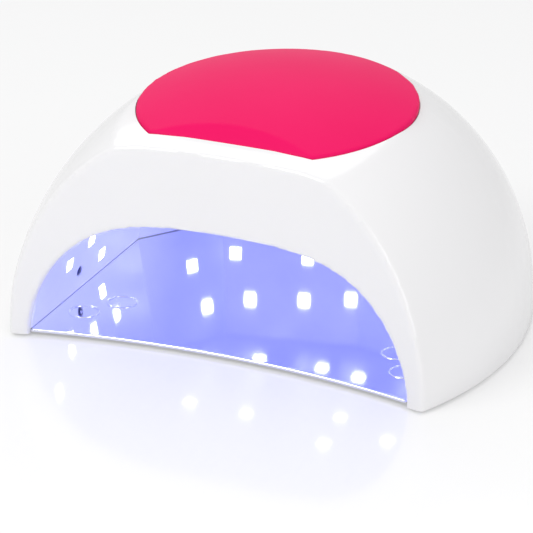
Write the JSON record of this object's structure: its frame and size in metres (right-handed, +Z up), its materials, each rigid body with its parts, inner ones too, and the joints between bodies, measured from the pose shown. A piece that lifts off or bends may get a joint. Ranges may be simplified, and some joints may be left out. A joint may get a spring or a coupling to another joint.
{
  "type": "uv led nail lamp",
  "caption": "Domed table-top nail curing lamp with an arched hand opening, mirrored liner with LEDs, silicone top pad, rear timer buttons and lift-off steel base plate.",
  "frame": {"origin": "on the table under the middle of the lamp's outline", "axes": "+Z up, -Y towards the open front where the hand goes in, +X to the right seen from the front"},
  "size_m": [0.222, 0.2016, 0.1094],
  "materials": {
    "white_shell": "polished white moulding",
    "pink_silicone": "satin rose silicone",
    "metallised_liner": "vacuum-metallised bright moulding",
    "chassis_plastic": "plain white moulding",
    "polished_steel": "polished stainless sheet",
    "foot_rubber": "matte",
    "magnet_nickel": "nickel plated",
    "screw_steel": "zinc plated",
    "led_board_white": "white solder mask",
    "led_lamp": "lamp body with a clear lens, lit violet-blue in use",
    "ir_plastic": "dark infrared plastic",
    "board_green": "green solder mask",
    "ferrite": "ferrite",
    "capacitor_can": "sleeved can",
    "chip_black": "moulded black",
    "plug_white": "natural nylon",
    "display_black": "black display with pale segments",
    "display_pane": "smoked clear pane",
    "button_grey": "white button",
    "inlet_black": "moulded black",
    "pin_brass": "plated pin",
    "nut_nickel": "plated",
    "lead_red": "insulated lead",
    "lead_black": "insulated lead",
    "lead_white": "insulated pair",
    "ribbon_grey": "flat ribbon"
  },
  "bodies": {
    "base": {"base_plate": "polished_steel", "plate_feet": "foot_rubber"},
    "housing": {"base_frame": "chassis_plastic", "board_connectors": "plug_white", "capacitors": "capacitor_can", "control_board": "board_green", "control_board_screws": "screw_steel", "control_ribbon": "ribbon_grey", "display_module": "display_black", "display_window": "display_pane", "driver_chips": "chip_black", "inductors": "ferrite", "inlet_body": "inlet_black", "inlet_nut": "nut_nickel", "inlet_pin": "pin_brass", "ir_emitter": "ir_plastic", "ir_receiver": "ir_plastic", "led_board_back_left": "led_board_white", "led_board_back_right": "led_board_white", "led_board_corner_left": "led_board_white", "led_board_corner_right": "led_board_white", "led_board_left": "led_board_white", "led_board_right": "led_board_white", "led_board_roof": "led_board_white", "led_lead_left": "lead_white", "led_lead_right": "lead_white", "leds_back_left": "led_lamp", "leds_back_right": "led_lamp", "leds_corner_left": "led_lamp", "leds_corner_right": "led_lamp", "leds_left": "led_lamp", "leds_right": "led_lamp", "leds_roof": "led_lamp", "liner_screws": "screw_steel", "magnets": "magnet_nickel", "main_board": "board_green", "main_board_screws": "screw_steel", "outer_shell": "white_shell", "power_lead_negative": "lead_black", "power_lead_positive": "lead_red", "reflector": "metallised_liner", "shell_screws": "screw_steel", "tact_switches": "chip_black", "top_pad": "pink_silicone"},
    "button_10s_cap": {"button_10s": "button_grey"},
    "button_30s_cap": {"button_30s": "button_grey"},
    "button_60s_cap": {"button_60s": "button_grey"},
    "button_99s_cap": {"button_99s": "button_grey"}
  },
  "joints": [
    {"name": "housing_lift", "type": "slide", "parent": "base", "child": "housing", "axis": [0, 0, 1], "range_m": [0, 0.05]},
    {"name": "button_10s_press", "type": "slide", "parent": "housing", "child": "button_10s_cap", "axis": [0, -0.9063, -0.4226], "range_m": [0, 0.0005], "stiffness_N_per_m": 800},
    {"name": "button_30s_press", "type": "slide", "parent": "housing", "child": "button_30s_cap", "axis": [0, -0.9063, -0.4226], "range_m": [0, 0.0005], "stiffness_N_per_m": 800},
    {"name": "button_60s_press", "type": "slide", "parent": "housing", "child": "button_60s_cap", "axis": [0, -0.9063, -0.4226], "range_m": [0, 0.0005], "stiffness_N_per_m": 800},
    {"name": "button_99s_press", "type": "slide", "parent": "housing", "child": "button_99s_cap", "axis": [0, -0.9063, -0.4226], "range_m": [0, 0.0005], "stiffness_N_per_m": 800}
  ]
}
